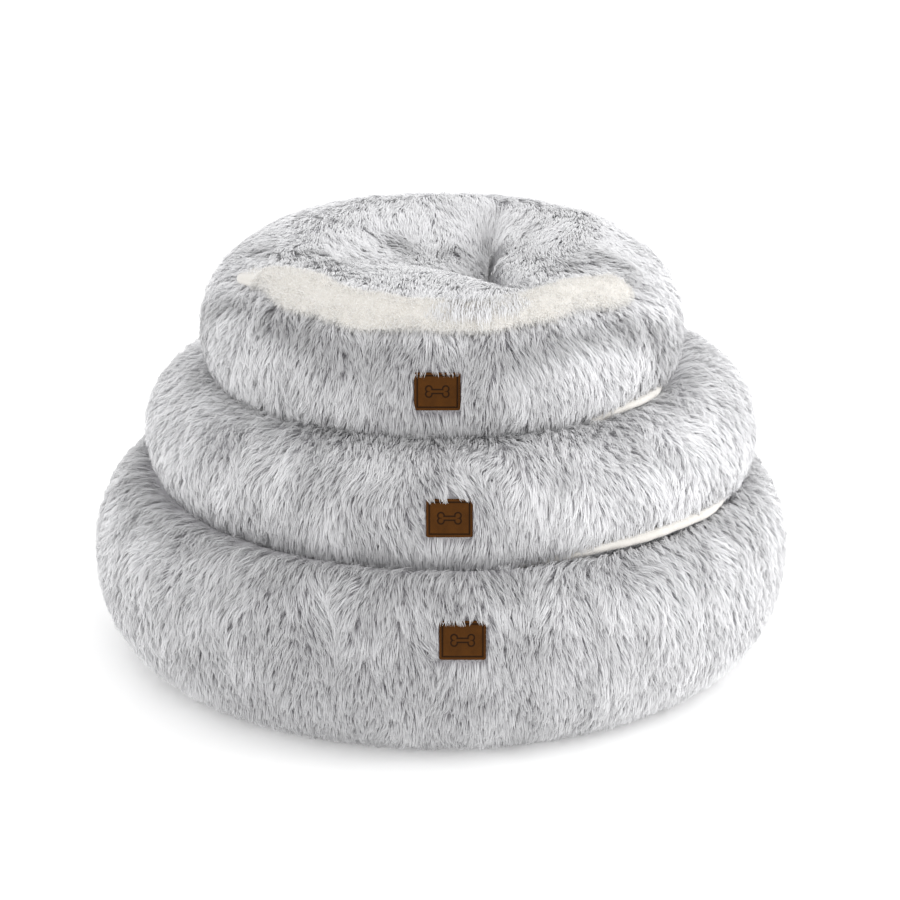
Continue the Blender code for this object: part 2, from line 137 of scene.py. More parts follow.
def paper():
    """Matt white studio paper: no gloss, so the floor fades into the sky."""
    material, tree = empty_material("White paper")
    surface = add_node(tree, "BsdfPrincipled", {
        "Base Color": PAPER_WHITE, "Roughness": 0.95, "Specular IOR Level": 0.1,
        "Emission Color": (1.0, 1.0, 1.0, 1.0), "Emission Strength": PAPER_GLOW})
    add_node(tree, "OutputMaterial", {"Surface": surface})
    return material


def add_piece(name, mesh, material):
    """Puts a mesh in the scene as one piece."""
    mesh.name = name
    piece = bpy.data.objects.new(name, mesh)
    mesh.materials.append(material)
    scene.collection.objects.link(piece)
    return piece


def quads(points, wrap_rows=False, wrap_columns=False, caps=()):
    """Smooth mesh of quads over rows and columns of points; caps names the rows closed by a face."""
    rows, columns = points.shape[:2]
    down = np.arange(rows if wrap_rows else rows - 1)
    right = np.arange(columns if wrap_columns else columns - 1)
    row, column = [grid.ravel() for grid in np.meshgrid(down, right, indexing="ij")]
    below, beside = (row + 1) % rows, (column + 1) % columns
    faces = np.stack([row * columns + column, row * columns + beside,
                      below * columns + beside, below * columns + column], axis=1).tolist()
    for cap in caps:
        line = list(range(cap * columns, (cap + 1) * columns))
        faces.append(line if cap else line[::-1])
    mesh = bpy.data.meshes.new("quads")
    mesh.from_pydata(points.reshape(-1, 3).tolist(), [], faces)
    mesh.shade_smooth()
    return mesh


corners = np.array([[[-1, -1, 0], [1, -1, 0]], [[-1, 1, 0], [1, 1, 0]]], float) * FLOOR_RADIUS
floor = add_piece("floor", quads(corners), paper())

world = bpy.data.worlds.new("Sky")
world.use_nodes = True
world.node_tree.nodes["Background"].inputs["Color"].default_value = (1.0, 1.0, 1.0, 1.0)
world.node_tree.nodes["Background"].inputs["Strength"].default_value = SKY
scene.world = world

for name, (place, size, power) in LAMPS.items():
    lamp = bpy.data.lights.new(name, "AREA")
    lamp.size = size
    lamp.energy = power
    holder = bpy.data.objects.new(name, lamp)
    holder.location = place
    holder.rotation_euler = (target - Vector(place)).to_track_quat("-Z", "Y").to_euler()
    scene.collection.objects.link(holder)


# -------------------- base panels
# Each bed stands on a disc of woven non-slip cloth, a polyester canvas with
# soft rubber dots printed on its underside. The CAD discs are that shape.
CANVAS_GREY = "#8d8c8e"
DOT_GREY = "#6f6e70"
DOT_PITCH = 0.008  # real dots are 3 mm wide and 8 mm apart
DOT_EDGE = (0.17, 0.21)  # shares of the pitch between which a dot thins out
THREAD = 0.0012  # real thread is 0.4 mm, drawn coarser so that it shows
BAND = 0.31  # scale at which Blender's wave texture has one band a metre


def canvas():
    """Polyester canvas with rubber dots: a matt woven grid with darker, smoother round spots."""
    material, tree = empty_material("Non-slip canvas")
    place = add_node(tree, "TexCoord").outputs["Object"]
    dots = add_node(tree, "TexVoronoi", {"Vector": place, "Scale": 1 / DOT_PITCH, "Randomness": 0.0},
                    voronoi_dimensions="2D")
    spot = add_node(tree, "MapRange", {"Value": dots, "From Min": DOT_EDGE[0], "From Max": DOT_EDGE[1],
                                       "To Min": 1.0, "To Max": 0.0})
    warp, weft = [add_node(tree, "TexWave", {"Vector": place, "Scale": BAND / THREAD, "Distortion": 0.4},
                           bands_direction=way) for way in "XY"]
    weave = add_node(tree, "Math", {0: warp.outputs["Fac"], 1: weft.outputs["Fac"]}, operation="MULTIPLY")
    colour = add_node(tree, "Mix", {0: spot, 6: CANVAS_GREY, 7: DOT_GREY}, data_type="RGBA")
    height = add_node(tree, "Math", {0: weave, 1: spot}, operation="MAXIMUM")
    bump = add_node(tree, "Bump", {"Height": height, "Strength": 0.5, "Distance": 0.0005})
    surface = add_node(tree, "BsdfPrincipled", {
        "Base Color": colour.outputs[2], "Roughness": 0.85, "Normal": bump})
    add_node(tree, "OutputMaterial", {"Surface": surface})
    return material


def refinish(node, material):
    """Gives its real finish to a CAD node whose shape is right."""
    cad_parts[node].data.materials.clear()
    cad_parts[node].data.materials.append(material)


cloth_canvas = canvas()
for name in ("large", "medium", "small"):
    refinish(f"{name}_base_panel", cloth_canvas)


# -------------------- bolsters
# Each bolster is a ring of polyester fibre in a cover of long-pile faux fur.
# Its section is a rounded square, and a bed that carries another is pressed
# down to the shape of the one above. Here is the knitted backing of the fur.
BACKING_GREY = "#e3e2e5"
UNDERCOAT_GREY = "#c3c1c6"
KNIT = 0.0016  # real stitches are 0.8 mm, drawn coarser so that they show
SQUARENESS = 2.3  # of the section: 2 is an ellipse
LAYERS = 0.0072  # hood, lining and play between two beds
WELL_EDGE = 0.006  # rounding where the seat drops into the well
WELL_FLOOR = 0.01  # of the cover's lowest line in the well, over the underside
SEAT_TO = -33  # how far up the section of the bed above, in degrees, a seat follows it
SIDE_POINTS = 90  # along the section from the crease to the underside
SECTION_STEP = 0.002  # between the entries of a section's table
SOFTEN = 7  # entries over which its slope is evened out
SKIN_INSET = 0.002  # of the backing inside the pressed pile
PANEL_TOP = 0.0035  # of the base panel, and just above it the middle of the underside
UNDERSIDE = 0.0045
WOOL_CLUMPS = 90.0  # to a metre: clumps of undercoat are about 11 mm wide
ROUND = 240  # points round a bed


def signed_power(value, power):
    """A power of a value, with the value's own sign."""
    return np.sign(value) * np.abs(value) ** power


class Bed:
    """One bed: its size and place from the frame, and its section from the well out to the underside.

    The section is kept as a table over the distance down it: radius, level, middle, and way out of the skin.
    """

    def __init__(self, name, height, shoulder, lip, crease, above=None):
        low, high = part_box(f"{name}_bolster_cover")
        self.name, self.height, self.shoulder, self.lip, self.above = name, height, shoulder, lip, above
        self.radius = (high.x - low.x) / 2
        self.base = low.z
        self.centre = ((low.x + high.x) / 2, (low.y + high.y) / 2)
        self.crest = self.radius - shoulder
        outer = [(*self.side(turn), *self.centre) for turn in np.linspace(crease, -90, SIDE_POINTS)]
        well, floor = self.crest - lip, self.base + WELL_FLOOR
        if above:
            seat = [above.side(turn, LAYERS) for turn in np.linspace(-90, SEAT_TO, 40)]
            ledge = seat[0][1]
            inner = [(well, floor), (well, ledge - WELL_EDGE), (well + WELL_EDGE, ledge)]
            outer = [(*point, *above.centre) for point in inner + seat] + outer
        else:
            wall = [(well, floor)] + [self.side(turn) for turn in np.linspace(178, crease, 60)]
            outer = [(*point, *self.centre) for point in wall] + outer[1:]
        rough = np.array(outer)
        run = np.concatenate([[0], np.cumsum(np.hypot(*np.diff(rough[:, :2], axis=0).T))])
        self.down = np.arange(0.0, run[-1], SECTION_STEP)
        table = np.stack([np.interp(self.down, run, column) for column in rough.T], axis=1)
        slope = np.gradient(table[:, :2], axis=0)
        window = np.ones(SOFTEN) / SOFTEN
        soft = [np.convolve(np.pad(column, SOFTEN // 2, "edge"), window, "valid") for column in slope.T]
        soft = np.stack(soft, axis=1)
        soft /= np.linalg.norm(soft, axis=1)[:, None]
        self.table = np.concatenate([table, -soft[:, 1:], soft[:, :1]], axis=1)
        self.crease = run[-1] - np.hypot(*np.diff(rough[-SIDE_POINTS:, :2], axis=0).T).sum()
        self.end = run[-1]

    def side(self, turn, out=0.0):
        """(radius, level) of the section: 90 is its crest, 0 its widest line and -90 its underside."""
        power = 2 / SQUARENESS
        across, up = math.cos(math.radians(turn)), math.sin(math.radians(turn))
        width = self.shoulder if across >= 0 else self.lip
        half = self.height / 2
        normal = (signed_power(across, 2 - power) / width, signed_power(up, 2 - power) / half)
        radius = self.crest + width * signed_power(across, power)
        level = self.base + half * (1 + signed_power(up, power))
        return radius + out * normal[0] / math.hypot(*normal), level + out * normal[1] / math.hypot(*normal)

    def at(self, down, around, out=0.0):
        """Points of the skin a distance down the section, in a direction round the bed, pushed out."""
        found = [np.interp(down, self.down, column) for column in self.table.T]
        radius, level, x, y, out_radius, out_level = found
        radius = radius + out * out_radius
        return np.stack(np.broadcast_arrays(x + radius * np.cos(around), y + radius * np.sin(around),
                                            level + out * out_level), axis=-1)

    def radius_at(self, down):
        return np.interp(down, self.down, self.table[:, 0])

    def level_at(self, down):
        return np.interp(down, self.down, self.table[:, 1])


def backing():
    """Knitted polyester backing and woolly undercoat: grey, matt and mottled, seen only in partings."""
    material, tree = empty_material("Knitted fur backing")
    place = add_node(tree, "TexCoord").outputs["Object"]
    knit = add_node(tree, "TexVoronoi", {"Vector": place, "Scale": 1 / KNIT})
    wool = add_node(tree, "TexNoise", {"Vector": place, "Scale": WOOL_CLUMPS, "Detail": 5.0})
    mixed = add_node(tree, "Math", {0: knit, 1: wool}, operation="MULTIPLY")
    colour = add_node(tree, "Mix", {0: wool, 6: UNDERCOAT_GREY, 7: BACKING_GREY}, data_type="RGBA")
    bump = add_node(tree, "Bump", {"Height": mixed, "Strength": 0.8, "Distance": 0.001})
    surface = add_node(tree, "BsdfPrincipled", {
        "Base Color": colour.outputs[2], "Roughness": 0.95, "Sheen Weight": 0.3, "Normal": bump})
    add_node(tree, "OutputMaterial", {"Surface": surface})
    return material


def on_bed(piece, bed, slot, *nodes):
    """Puts a piece on its bed, in place of the CAD nodes it stands for; its slot is not used."""
    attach(piece, f"{bed.name}_bed")
    if nodes:
        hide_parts(*[f"{bed.name}_{node}" for node in nodes])


SMALL = Bed("small", height=0.164, shoulder=0.096, lip=0.055, crease=90)
MEDIUM = Bed("medium", height=0.150, shoulder=0.105, lip=0.065, crease=73, above=SMALL)
LARGE = Bed("large", height=0.223, shoulder=0.109, lip=0.070, crease=53, above=MEDIUM)
BEDS = (LARGE, MEDIUM, SMALL)
knitted = backing()
for bed in BEDS:
    steps = np.concatenate([np.arange(0.0, bed.end, 0.005), [bed.end]])
    around = np.linspace(0, math.tau, ROUND, endpoint=False)
    points = bed.at(steps[:, None], around[None, :], -SKIN_INSET)
    underside = points[:1].copy()
    underside[..., 2] = bed.base + UNDERSIDE
    points = np.concatenate([underside, points])
    points[..., 2] = np.maximum(points[..., 2], bed.base + PANEL_TOP)
    skin = add_piece(f"{bed.name}_bolster", quads(points, wrap_rows=True, wrap_columns=True), knitted)
    on_bed(skin, bed, "fur", "bolster_cover", "bolster_fill")


# -------------------- pads
# A loose round pad lies in each well: plush cloth over polyester fibre, two
# discs sewn to a side band. It is crowned, and gathers a little at its seams.
PLUSH_CREAM = "#ece9e4"
PLUSH_SHADE = "#dfdbd4"
PLUSH_NAP = 0.0022  # real loops are 1 mm, drawn coarser so that they show
PAD_PLAY = 0.003  # between a pad and its well
PAD_CROWN = 0.16  # of its thickness
PAD_ROUND = 0.36  # of its thickness, by which its seams lie further in than its side
PAD_FLAT = 0.8  # power that makes its edge squarer than an ellipse
PUCKERS = 46  # gathers round a seam
PUCKER_DEPTH = 0.0011
SEAM = (0.78, 0.16)  # level of a seam in half thicknesses, and how far from it the gathers reach
PAD_WAVE = 0.0014  # of its uneven top
BRUSH_MARKS = 38.0  # to a metre: brushed patches are about 26 mm wide


def plush():
    """Coral-fleece plush: cream, short and dense, with a nap that mottles where it is brushed."""
    material, tree = empty_material("Cream coral-fleece plush")
    place = add_node(tree, "TexCoord").outputs["Object"]
    nap = add_node(tree, "TexNoise", {"Vector": place, "Scale": 1 / PLUSH_NAP, "Detail": 4.0,
                                      "Roughness": 0.65})
    brushed = add_node(tree, "TexNoise", {"Vector": place, "Scale": BRUSH_MARKS, "Detail": 3.0,
                                          "Distortion": 0.6})
    both = add_node(tree, "Math", {0: nap, 1: brushed}, operation="MULTIPLY")
    part = add_node(tree, "MapRange", {"Value": both, "From Min": 0.10, "From Max": 0.38})
    colour = add_node(tree, "Mix", {0: part, 6: PLUSH_SHADE, 7: PLUSH_CREAM}, data_type="RGBA")
    bump = add_node(tree, "Bump", {"Height": both, "Strength": 0.6, "Distance": 0.0012})
    surface = add_node(tree, "BsdfPrincipled", {
        "Base Color": colour.outputs[2], "Roughness": 0.9, "Sheen Weight": 0.6, "Sheen Roughness": 0.35,
        "Normal": bump})
    add_node(tree, "OutputMaterial", {"Surface": surface})
    return material


cream = plush()
for bed in BEDS:
    low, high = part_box(f"{bed.name}_pad_cover")
    thick, radius = high.z - low.z, (high.x - low.x) / 2 - PAD_PLAY
    middle = np.array([*bed.centre, (low.z + high.z) / 2])
    turn = np.linspace(-90, 90, 41)
    across = np.cos(np.radians(turn))
    up = np.sin(np.radians(turn))
    edge = radius - thick * PAD_ROUND * (1 - np.abs(across) ** PAD_FLAT)
    inner = np.linspace(0.02, 0.96, 22)
    rims = np.concatenate([inner * edge[0], edge, inner[::-1] * edge[-1]])
    flat = signed_power(up, PAD_FLAT) * thick * (0.5 - PAD_CROWN / 2)
    crown = thick * PAD_CROWN / 2 * (1 - inner ** 2)
    levels = np.concatenate([flat[0] - crown * 0.2, flat, flat[-1] + crown[::-1] * 1.7])
    around = np.linspace(0, math.tau, 184, endpoint=False)
    near_seam = np.exp(-(np.abs(np.abs(levels) / (thick / 2) - SEAM[0]) / SEAM[1]) ** 2)
    near_seam *= rims > edge[0] * 0.8
    gather = PUCKER_DEPTH * np.sin(PUCKERS * around + 0.9 * np.sin(5 * around))[None, :] * near_seam[:, None]
    spread = rims[:, None] + gather
    rise = levels[:, None] + PAD_WAVE * np.sin(4 * around[None, :] + 9 * rims[:, None] / radius)
    rise = np.clip(rise, low.z - middle[2] + 0.0004, None)
    points = np.stack([middle[0] + spread * np.cos(around), middle[1] + spread * np.sin(around),
                       middle[2] + rise], axis=-1)
    mesh = quads(points, wrap_columns=True, caps=(0, len(rims) - 1))
    pad = add_piece(f"{bed.name}_pad", mesh, cream)
    on_bed(pad, bed, "plush", "pad_cover", "pad_fill")


# -------------------- hoods
# A hood is a disc of faux fur lined with plush, sewn to the rim round the back
# and open at the front. The top one sags over its well and is puckered by a
# deep fold; the others are pressed flat under the bed above.
HEMS = {  # direction in degrees and share of the rim's radius, left to right
    "large": ((-172, 1), (-135, 0.80), (-105, 0.84), (-80, 0.95), (-62, 1), (-8, 1)),
    "medium": ((-174, 1), (-125, 0.78), (-85, 0.82), (-58, 0.95), (-40, 1), (-4, 1)),
    "small": ((-177, 1), (-150, 0.86), (-118, 0.91), (-84, 0.94), (-50, 0.89), (-30, 0.95), (-12, 1))}
RIM_TURN = -34  # degrees: where the rim of a trapped hood lies on the bed above
RIM_OUT = 0.0038
SEWN_TURN = 42  # degrees: where the top hood is sewn to its bolster
SEWN_OUT = 0.0036
HOOD_SAG = 0.032
CLOTH = 0.0026
HOOD_PLAY = 0.0003  # between a trapped hood and the bed above
FUR_OUT = 0.0066  # outer face of a hood's fur cloth from the bolster
LINING_OUT = 0.0033
HOOD_RINGS = 56
HOOD_SPOKES = 200
FOLD_LINE = ((0.095, -0.147), (0.070, -0.090), (0.053, -0.029),
             (0.057, 0.029), (0.060, 0.080), (0.064, 0.140))
FOLD_ENDS = (0.17, 0.05)  # how far from the middle the fold ends, and over what length
FOLD_DEPTH = 0.029
FOLD_SLOPE = 0.030  # widths of the fold's long left side and of its steep right side
FOLD_WALL = 0.010
MOUNDS = ((0.135, 0.000, 0.070, 0.016), (-0.030, -0.080, 0.070, 0.014), (-0.150, 0.050, 0.060, 0.006),
          (0.105, 0.160, 0.075, 0.010), (-0.110, 0.155, 0.075, 0.011), (-0.045, 0.070, 0.035, -0.008),
          (0.000, 0.175, 0.065, 0.009), (0.188, 0.085, 0.060, 0.013), (-0.185, 0.080, 0.055, 0.009),
          (-0.095, -0.010, 0.030, -0.008))   # x, y, width and height


class Hood:
    """One hood: a sheet over a round outline, with its edge, and its height at each place of its plan."""

    def __init__(self, bed, hem):
        self.bed, self.carrier = bed, bed.above or bed
        self.centre = self.carrier.centre
        if bed.above:
            rim = bed.above.side(RIM_TURN, RIM_OUT)[0]
            profile = [bed.above.side(turn, -0.0002) for turn in range(-90, RIM_TURN + 4, 2)]
        else:
            rim = bed.side(SEWN_TURN, SEWN_OUT)[0]
            profile = [bed.side(turn) for turn in range(90, SEWN_TURN - 8, -2)]
        self.profile = np.array(profile).T
        self.directions = np.radians(np.arange(-180, 181))
        turns, shares = np.array(hem).T
        share = np.interp(np.arange(-180, 181), turns, shares, left=1.0, right=1.0)
        window = np.hanning(23) / np.hanning(23).sum()
        self.edges = (rim - 0.002) * np.convolve(np.pad(share, 11, "wrap"), window, "valid")

    def edge(self, around):
        """Distance of the hood's edge from its middle, in a direction."""
        return np.interp((around + math.pi) % (math.tau) - math.pi, self.directions, self.edges)

    def level(self, x, y, out):
        """Height of the sheet over a place of its plan, a distance from the bolster."""
        radius = np.hypot(x, y)
        level = np.interp(radius, *self.profile)
        if self.bed.above:
            return level - LAYERS + out + HOOD_PLAY
        inside = np.clip(1 - (radius / self.bed.crest) ** 2, 0, 1)
        level = level + out - HOOD_SAG * inside ** 2
        near_rim = np.clip((self.bed.crest + 0.070 - radius) / 0.06, 0, 1)
        for mound_x, mound_y, width, height in MOUNDS:
            off = (x - mound_x) ** 2 + (y - mound_y) ** 2
            level = level + height * np.exp(-off / width ** 2) * near_rim
        return level - FOLD_DEPTH * self.fold(x, y)

    def fold(self, x, y):
        """How deep a place lies in the top hood's fold, 0 to 1."""
        if self.bed.above:
            return np.zeros(np.shape(x))
        from_fold = x - np.interp(y, *np.array(FOLD_LINE)[:, ::-1].T)
        end, fade = FOLD_ENDS
        along = np.clip((y + end) / fade, 0, 1) * np.clip((end - y) / fade, 0, 1)
        return along * np.exp(-(from_fold / np.where(from_fold < 0, FOLD_SLOPE, FOLD_WALL)) ** 2)

    def at(self, x, y, out):
        """A point of the sheet, pushed out along its own slope."""
        step = 0.004
        level = self.level(x, y, FUR_OUT)
        slope_x = (self.level(x + step, y, FUR_OUT) - level) / step
        slope_y = (self.level(x, y + step, FUR_OUT) - level) / step
        size = np.sqrt(1 + slope_x ** 2 + slope_y ** 2)
        return np.stack([self.centre[0] + x - out * slope_x / size,
                         self.centre[1] + y - out * slope_y / size, level + out / size], axis=-1)


def hood_sheet(name, hood, out, short, material):
    """A closed layer of cloth over a hood's plan, its top face a distance from the bolster."""
    shares = np.concatenate([[0.01], np.linspace(0.04, 1, HOOD_RINGS)])
    around = np.linspace(-math.pi, math.pi, HOOD_SPOKES, endpoint=False)
    radius = shares[:, None] * (hood.edge(around) - short)[None, :]
    x, y = radius * np.cos(around), radius * np.sin(around)
    top, under = [np.stack([hood.centre[0] + x, hood.centre[1] + y, hood.level(x, y, out - below)], axis=-1)
                  for below in (0.0, CLOTH)]
    points = np.concatenate([under, top[::-1]])
    return add_piece(name, quads(points, wrap_columns=True, caps=(0, len(points) - 1)), material)


def flat_area(hood, short):
    """Area of a hood's cloth as it is cut, which ends a little short of the hood's edge."""
    around = np.linspace(-math.pi, math.pi, 720, endpoint=False)
    return float(((hood.edge(around) - short) ** 2).mean() * math.pi)


def fasten(piece, hood, slot):
    """Puts a piece of a hood on its bed, or across the line where the top hood folds back."""
    if hood.bed.above:
        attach(piece, f"{hood.bed.name}_bed")
    else:
        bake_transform(piece)


HOODS = [Hood(bed, HEMS[bed.name]) for bed in BEDS]
for hood in HOODS:
    name = hood.bed.name
    halves = ("_back", "_flap") if hood.bed is SMALL else ("",)
    wide = 2 * float(hood.edges.max())
    for layer, suffix, out, short, slot, material in (
            ("cloth", "", FUR_OUT, 0.003, "fur", knitted),
            ("lining_cloth", "_lining", LINING_OUT, 0.004, "plush", cream)):
        sheet = hood_sheet(f"{name}_hood_{layer}", hood, out, short, material)
        fasten(sheet, hood, slot)
        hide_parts(*[f"{name}_hood{half}{suffix}" for half in halves])
        flat_area(hood, short)


# -------------------- fur of the bolsters
# The pile is brushed acrylic, about 20 mm long where it shows, with a grey undercoat
# and white tips. It is combed down the sides, gathers in tufts with fine points, and
# is cut round the label and the zip. Where the next bed lies on it, it is pressed flat.
PILE_ROOT = "#a09ea4"
PILE_LOW = "#d6d4d8"
PILE_BODY = "#f8f8fa"
PILE_TIP = "#fdfdfe"
PILE_COVER = 0.55  # how far the white tips of a dense tuft hide its grey roots
TUFT_SPACING = 0.0060  # between tufts
TUFT_STRANDS = 9
TUFT_SPREAD = 0.42  # of a tuft's strands at the skin, in spacings
MOST_STRANDS = 38000  # in one piece
UNDER_NEXT = 0.012  # how far the pile runs in under the next bed
INTO_WELL = 0.085  # and over the lip of the top one
FLOOR_GAP = 0.0008  # of the lowest fibres above what the stack stands on
UNDERSIDE_BARE = 0.035  # of the underside, where no pile grows
PILE_LENGTH = 0.020
PILE_STAND = 0.0080  # of the bent pile over the backing
STRAND_WIDTH = 0.0010  # a strand stands for some ten real fibres of 0.1 mm
STEPS = (0.0, 0.30, 0.65, 1.0)  # places of the bends along a strand
RISE = (0.0, 0.62, 1.0, 0.80)  # and their share of the pile's stand
TIGHT = 0.50  # how far the tips of a tuft come together
BLADE_TURN = 0.25  # by which the flats of the strands lean to the sides
HEM_SHADE_PLACE = 0.027  # of the painted shade under the top hood's hem, and its width
HEM_SHADE_WIDTH = 0.015
HEM_SHADE_DARK = 0.9  # these are how much each thing darkens the pile: painted shade under the hem, in the crease and at the front; the ruffled patch and bare places open the pile and show its grey roots
CREASE_SHADE_DARK = 0.35
RUFFLED_GREY = 0.4
BARE_GREY = 0.16
FRONT_SHADE_DARK = 0.76
FRONT_SHADE_FROM = 0.2  # radians from the front to the left where the painted shade is deepest
COAT_TONE_AND_SHADE = {"large": 0.76, "medium": 0.90, "small": 0.98}  # how white each coat is, with painted shade that makes the lower beds darker
LABEL_SIZE = (0.050, 0.042)
LABEL_OVERHANG = 0.009  # of the pile over the top of a label
LABEL_COVERED = 0.005  # of a label's height by longer strands
GAP_BESIDE = 0.013  # of the short pile beside a label
GAP_PILE = (0.007, 0.002)  # its length and stand
RUFFLE = (0.042, 0.018, 0.022)  # place left of a label, width and height of a ruffled patch
ZIP_ARC = (math.radians(58.0), math.radians(122.0))
ZIP_END = 0.012  # of the clearing in the pile past either end of the zip
ZIP_CLEAR = 0.008  # to either side of it
ZIP_LOW = (0.03, 0.004)  # how far from the zip the pile lies low, and how low


def pile(name, colours):
    """Acrylic pile: matt fibres with a soft shine, darker at the root and frosted towards the tip."""
    material, tree = empty_material(name)
    strand = add_node(tree, "UVMap", uv_map="OFBake").outputs["UV"]
    split = add_node(tree, "SeparateXYZ", {"Vector": strand})
    cover = add_node(tree, "Math", {0: split.outputs["X"], 1: PILE_COVER}, operation="MULTIPLY")
    to_tip = add_node(tree, "Math", {0: 1.0, 1: split.outputs["Y"]}, operation="SUBTRACT")
    covered = add_node(tree, "Math", {0: to_tip, 1: cover, 2: split.outputs["Y"]}, operation="MULTIPLY_ADD")
    length = add_node(tree, "ValToRGB", {"Fac": covered})
    ramp = length.color_ramp
    ramp.elements[0].color = hex_colour(colours[0])
    ramp.elements[1].color = hex_colour(colours[3])
    for place, code in ((0.18, colours[1]), (0.45, colours[2])):
        ramp.elements.new(place).color = hex_colour(code)
    # The strip's place darkens the whole strand: random tone, grey partings and painted shade.
    tuft = add_node(tree, "MapRange", {"Value": split.outputs["X"], "To Min": 0.62, "To Max": 1.0})
    colour = add_node(tree, "VectorMath", {0: length, "Scale": tuft}, operation="SCALE")
    surface = add_node(tree, "BsdfPrincipled", {
        "Base Color": colour, "Roughness": 0.62, "Sheen Weight": 0.7, "Sheen Roughness": 0.5,
        "Specular IOR Level": 0.2})
    add_node(tree, "OutputMaterial", {"Surface": surface})
    return material


def waves(rng, count, shortest, longest):
    """A smooth random field in space, about -1 to 1, from sine waves between two lengths."""
    ways = rng.normal(size=(count, 3))
    lengths = shortest * (longest / shortest) ** rng.random(count)
    ways *= (math.tau / lengths / np.linalg.norm(ways, axis=1))[:, None]
    phases = rng.random(count) * math.tau
    return lambda points: np.sin(points @ ways.T + phases).sum(axis=-1) / math.sqrt(count / 2) * 0.8


def scatter(rng, first, last, spacing, radius_at):
    """Tuft middles over a band of a round skin: distances down it and directions round it."""
    down, around = [], []
    for row in np.arange(first, last, spacing * 0.87):
        count = max(int(math.tau * radius_at(row) / spacing), 3)
        down.append(np.full(count, row))
        around.append((np.arange(count) + rng.random()) / count * math.tau)
    down, around = np.concatenate(down), np.concatenate(around)
    down = down + rng.uniform(-0.45, 0.45, len(down)) * spacing
    around = around + rng.uniform(-0.45, 0.45, len(around)) * spacing / radius_at(down)
    return down, around


def grow(name, paths, width, shade, facing, rng, material):
    """Makes strands of pile from their bend points: thin blades, broad at the root, pointed at the tip.

    paths is (strands, bends, 3), and facing is the way out of the skin that the blades lie flat on.
    Each strand has its own strip of the map, by shade, and runs up it to the tip.
    """
    count, bends = paths.shape[:2]
    run = np.gradient(paths, axis=1)
    away = facing + BLADE_TURN * rng.normal(size=(count, 3))
    flat = np.cross(run, away[:, None, :])
    flat /= np.maximum(np.linalg.norm(flat, axis=2), 1e-9)[..., None]
    taper = np.array([1.0, 0.95, 0.66])
    half = flat[:, :-1] * (width[:, None] / 2 * taper)[..., None]
    pairs = np.stack([paths[:, :-1] - half, paths[:, :-1] + half], axis=2)
    points = np.concatenate([pairs.reshape(count, -1, 3), paths[:, -1:]], axis=1)
    corners = np.array([0, 1, 3, 2, 2, 3, 5, 4, 4, 5, 6])
    loops = (np.arange(count)[:, None] * 7 + corners).ravel()
    starts = (np.arange(count)[:, None] * 11 + np.array([0, 4, 8])).ravel()
    mesh = bpy.data.meshes.new(name)
    mesh.vertices.add(count * 7)
    mesh.loops.add(count * 11)
    mesh.polygons.add(count * 3)
    mesh.vertices.foreach_set("co", points.astype(np.float32).ravel())
    mesh.loops.foreach_set("vertex_index", loops.astype(np.int32))
    mesh.polygons.foreach_set("loop_start", starts.astype(np.int32))
    mesh.update(calc_edges=True)
    up = np.repeat(np.array(STEPS), 2)[:7][corners]
    side = np.array([0, 1, 0, 1, 0, 1, 0.5])[corners]
    strip = np.clip(shade, 0.01, 0.97)[:, None] + 0.012 * side
    chart = np.stack([strip, np.broadcast_to(0.01 + 0.98 * up, strip.shape)], axis=-1)
    mesh.uv_layers.new(name="OFBake").uv.foreach_set("vector", chart.astype(np.float32).ravel())
    mesh.shade_smooth()
    return add_piece(name, mesh, material)


class Pile:
    """Strands being laid out, in tufts: arrays with one entry per strand."""

    def __init__(self, rng, down, around, per_tuft, spread):
        self.rng, self.tufts, self.count = rng, len(down), len(down) * per_tuft
        self.tuft = np.repeat(np.arange(self.tufts), per_tuft)
        self.down, self.around = down[self.tuft], around[self.tuft]
        self.off = rng.normal(size=(2, self.count)) * spread

    def one(self, low, high):
        """A random value for each tuft, which its strands share nearly."""
        return self.rng.uniform(low, high, self.tufts)[self.tuft] * self.rng.uniform(0.9, 1.1, self.count)

    def each(self, low, high):
        """A random value for each strand."""
        return self.rng.uniform(low, high, self.count)

    def keep(self, wanted):
        """Drops the strands that aren't wanted."""
        for key, value in vars(self).items():
            if isinstance(value, np.ndarray) and value.shape[-1] == len(wanted) and key != "paths":
                setattr(self, key, value[..., wanted])
        if hasattr(self, "paths"):
            self.paths = self.paths[wanted]

    def lay(self, place, per_metre, heading, length, stand, tight):
        """Bends each strand over along its heading, and draws the tips of a tuft together."""
        bends = []
        for share, rise in zip(STEPS, RISE):
            gather = 1 - tight * share
            run = length * share
            down = self.down + self.off[0] * gather + np.cos(heading) * run
            around = self.around + (self.off[1] * gather + np.sin(heading) * run) * per_metre
            bends.append(place(down, around, stand * rise))
        self.paths = np.stack(bends, axis=1)

    def pieces(self, name, order):
        """Grows the strands, taken in an order, as pieces of a limited size."""
        for part, strands in enumerate(np.array_split(order, 1 + len(order) // MOST_STRANDS)):
            yield grow(f"{name}_{part + 1}", self.paths[strands], self.width[strands], self.shade[strands],
                       self.facing[:, strands].T, self.rng, fur)


def hang(paths, centre, weight, floor_level):
    """Lets pile that would follow an overhang inwards fall straight, and spreads it on the floor."""
    middle = np.array([*centre, 0.0])
    flat = (paths - middle) * np.array([1.0, 1.0, 0.0])
    radius = np.linalg.norm(flat, axis=2)
    inwards = np.maximum(radius[:, :1] - radius, 0.0)
    under = np.maximum(floor_level - paths[..., 2], 0.0)
    factor = 1 + (weight * inwards + 0.5 * under) / radius
    moved = middle * np.array([1.0, 1.0, 0.0]) + flat * factor[..., None]
    moved[..., 2] = np.maximum(paths[..., 2], floor_level)
    return moved


